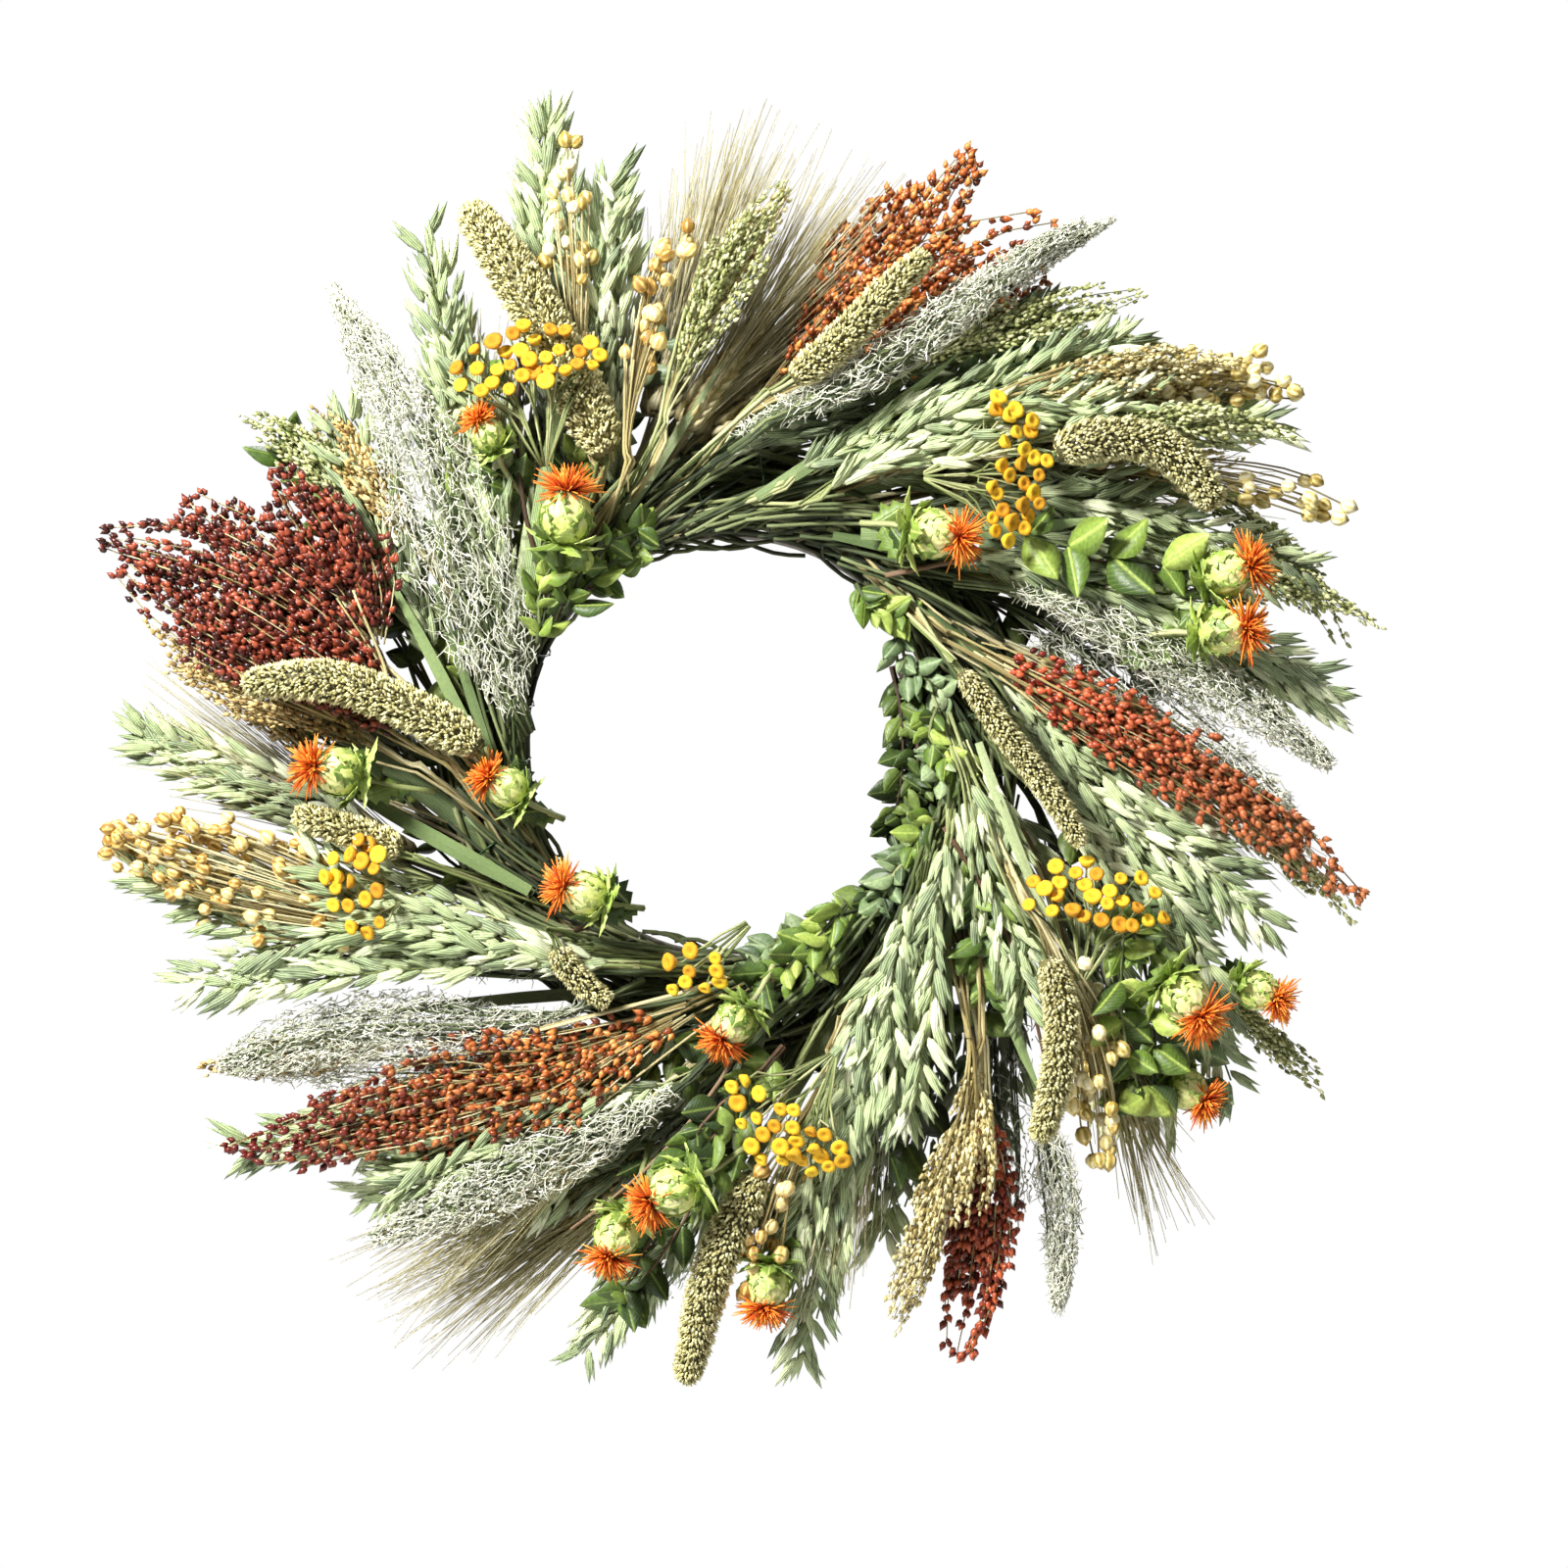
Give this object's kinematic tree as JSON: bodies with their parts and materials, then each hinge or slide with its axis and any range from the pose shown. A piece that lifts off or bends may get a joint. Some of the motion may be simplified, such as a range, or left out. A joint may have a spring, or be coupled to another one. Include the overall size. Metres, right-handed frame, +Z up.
{
  "type": "harvest door wreath",
  "caption": "Round door wreath of dried grains, seed heads, flowers and leaves bound on a double-rail wire frame, hung by a swinging wire loop.",
  "frame": {"origin": "the hanging point, under the arch of the hanging loop, where a hook or nail carries the wreath", "axes": "+Z up, the wreath's front faces -Y and the door is on the +Y side, +X to the right seen from the front"},
  "size_m": [0.5597, 0.0944, 0.5603],
  "materials": {
    "galvanised_wire": "dull, slightly rusty galvanised steel wire",
    "green_wire": "green enamelled florist's wire",
    "stem_straw": "dried stems, straw to sage green, dull",
    "foxtail_green": "dense bristly seed spike, khaki green",
    "sorghum_orange": "smooth orange-brown grains, slight gloss",
    "sorghum_red": "smooth red-brown grains, slight gloss",
    "sorghum_maroon": "smooth dark maroon grains, slight gloss",
    "artemisia_white": "white felted curly leaflets",
    "oat_green": "papery sage-green husks",
    "barley_straw": "straw-coloured ears and awns",
    "millet_cream": "small cream to yellow-green seeds",
    "flax_gold": "round papery golden pods",
    "leaf_green": "preserved leaves, dark to lime green, soft sheen",
    "safflower_orange": "green bud and bracts with an orange thistle tuft",
    "tansy_yellow": "flat dried yellow buttons"
  },
  "bodies": {
    "wreath": {"artemisia_left": "artemisia_white", "artemisia_lower_left": "artemisia_white", "artemisia_right": "artemisia_white", "artemisia_top": "artemisia_white", "barley_bottom": "barley_straw", "barley_top": "barley_straw", "binding_wire": "green_wire", "flax_left": "flax_gold", "flax_lower_right": "flax_gold", "foxtail_bottom": "foxtail_green", "foxtail_inner_right": "foxtail_green", "foxtail_left": "foxtail_green", "foxtail_lower_right": "foxtail_green", "foxtail_right": "foxtail_green", "foxtail_top": "foxtail_green", "foxtail_top_left": "foxtail_green", "frame_crossbar_1": "galvanised_wire", "frame_crossbar_2": "galvanised_wire", "frame_crossbar_3": "galvanised_wire", "frame_crossbar_4": "galvanised_wire", "frame_inner_ring": "galvanised_wire", "frame_outer_ring": "galvanised_wire", "greens_inner_right": "leaf_green", "millet_bottom": "millet_cream", "millet_lower_right": "millet_cream", "millet_top": "millet_cream", "millet_upper_right": "millet_cream", "oats_far_left": "oat_green", "oats_inner_right": "oat_green", "oats_left": "oat_green", "oats_lower_right": "oat_green", "oats_right": "oat_green", "oats_top": "oat_green", "oats_top_right": "oat_green", "safflower_bottom": "safflower_orange", "safflower_inner_lower_left": "safflower_orange", "safflower_left": "safflower_orange", "safflower_lower_right": "safflower_orange", "safflower_right_lower": "safflower_orange", "safflower_right_upper": "safflower_orange", "safflower_top_left": "safflower_orange", "safflower_upper_right": "safflower_orange", "sorghum_ember": "sorghum_orange", "sorghum_maroon": "sorghum_maroon", "sorghum_orange": "sorghum_orange", "sorghum_red": "sorghum_red", "sorghum_rust": "sorghum_red", "stem_bundle_1": "stem_straw", "stem_bundle_2": "stem_straw", "stem_bundle_3": "stem_straw", "stem_bundle_4": "stem_straw", "stem_bundle_5": "stem_straw", "stem_bundle_6": "stem_straw", "tansy_bottom": "tansy_yellow", "tansy_left": "tansy_yellow", "tansy_lower_right": "tansy_yellow", "tansy_right": "tansy_yellow", "tansy_top_left": "tansy_yellow"},
    "hanging_loop": {"hanging_loop": "galvanised_wire"}
  },
  "joints": [
    {"name": "hanging_loop_swing", "type": "hinge", "parent": "wreath", "child": "hanging_loop", "pos_m": [0, -0.0032, -0.038], "axis": [-1, 0, 0], "range_deg": [0, 165]}
  ]
}
